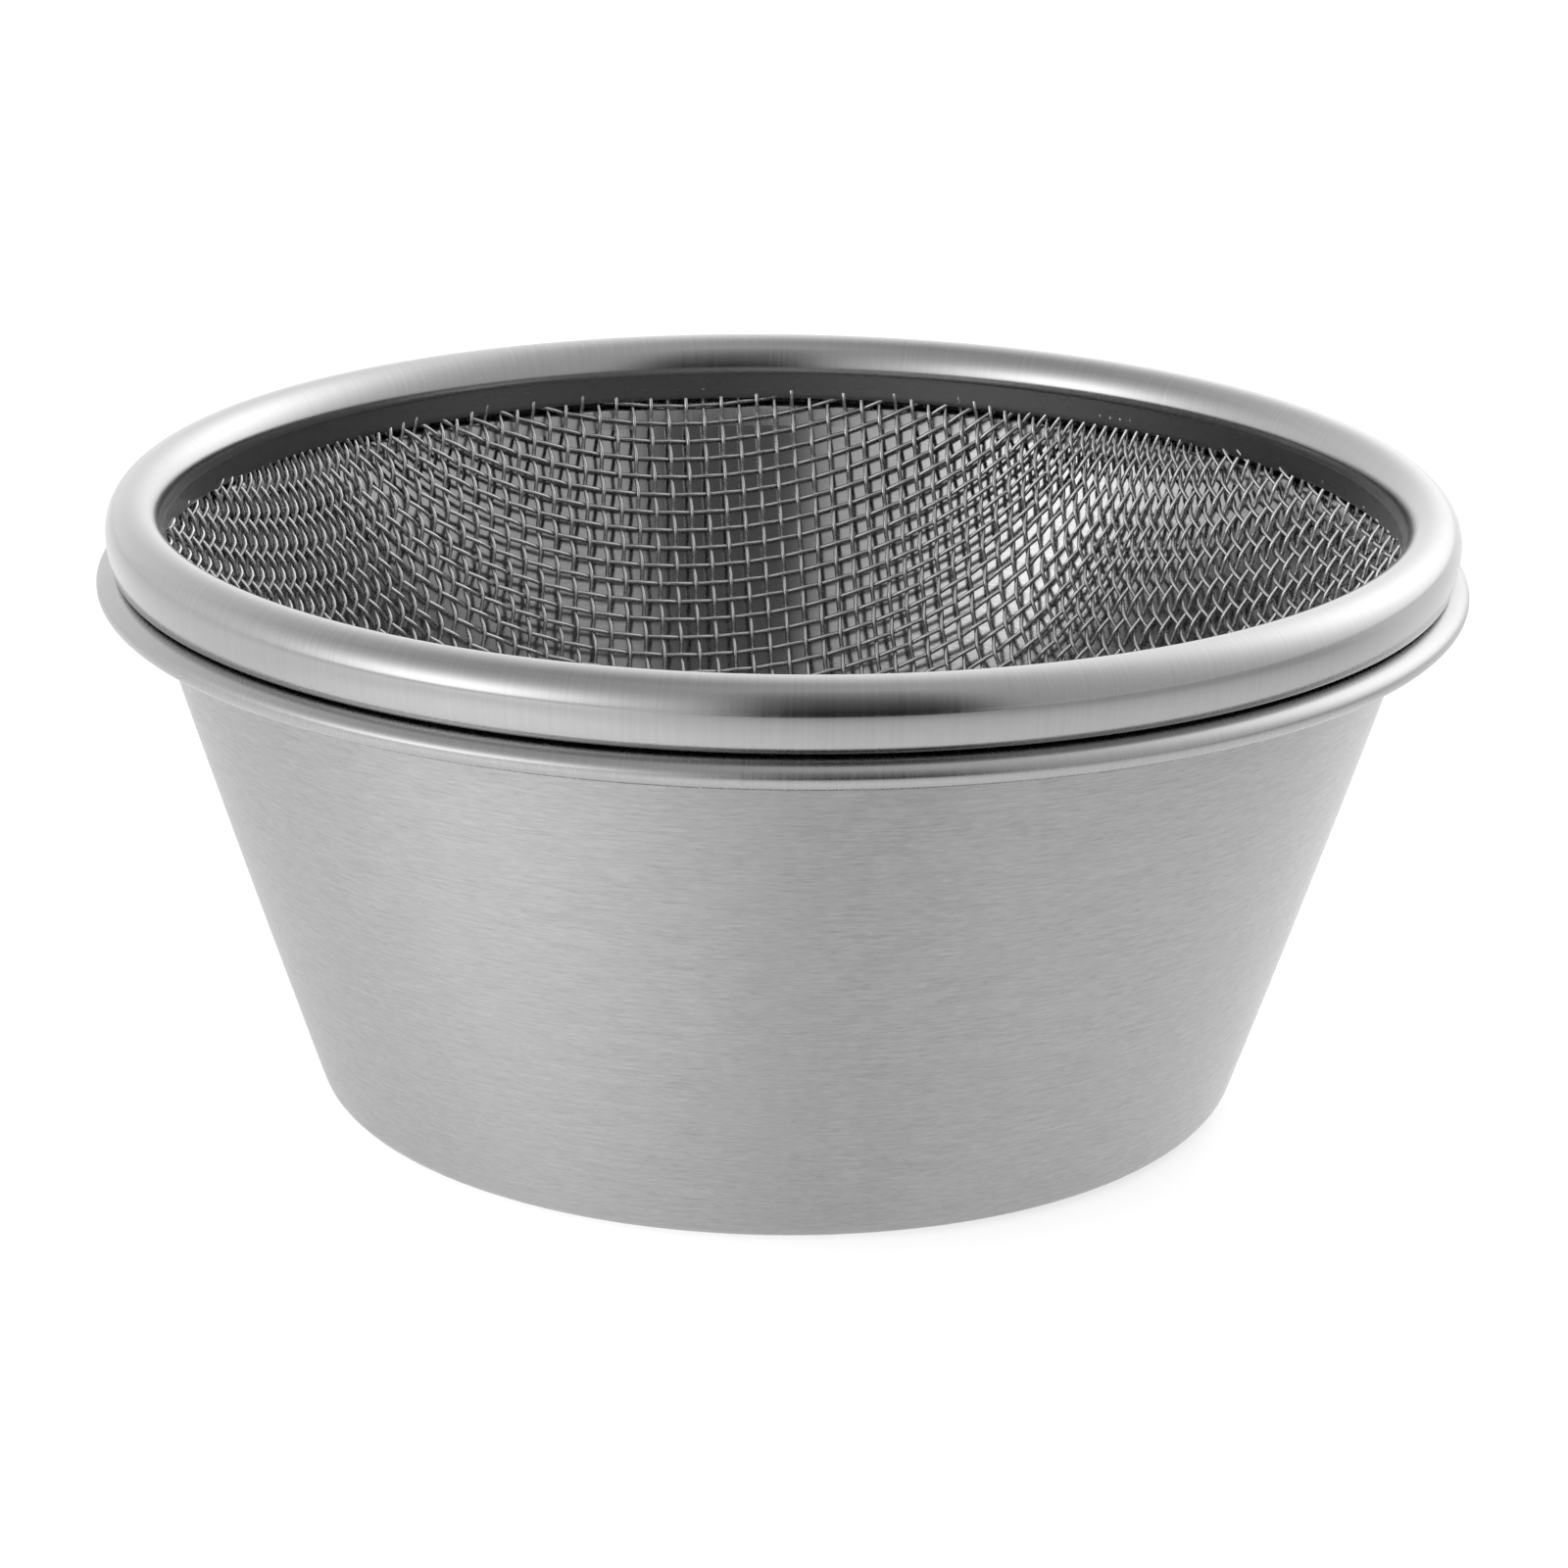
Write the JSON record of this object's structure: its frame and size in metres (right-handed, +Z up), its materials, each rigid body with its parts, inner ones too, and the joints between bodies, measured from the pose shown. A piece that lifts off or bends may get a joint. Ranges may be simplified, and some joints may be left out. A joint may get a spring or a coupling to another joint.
{
  "type": "wire mesh strainer in a bowl",
  "caption": "Round wire mesh strainer with a curled steel rim, nested in a flat-bottomed brushed steel bowl with an open rolled lip; the strainer lifts straight out.",
  "frame": {"origin": "centre of the bowl's underside, on the surface that it stands on", "axes": "+Z up along the axis that every piece is turned about; the picture looks along +Y"},
  "size_m": [0.1502, 0.1502, 0.0683],
  "materials": {
    "bowl_steel": "satin, brushed round the wall",
    "rim_steel": "semi-polished",
    "collar_steel": "satin",
    "wire_steel": "bright drawn wire"
  },
  "bodies": {
    "bowl": {"bowl": "bowl_steel"},
    "strainer": {"strainer_rim": "rim_steel", "mesh_collar": "collar_steel", "mesh_cup": "wire_steel"}
  },
  "joints": [
    {"name": "strainer_lift", "type": "slide", "parent": "bowl", "child": "strainer", "axis": [0, 0, 1], "range_m": [0, 0.08]}
  ]
}
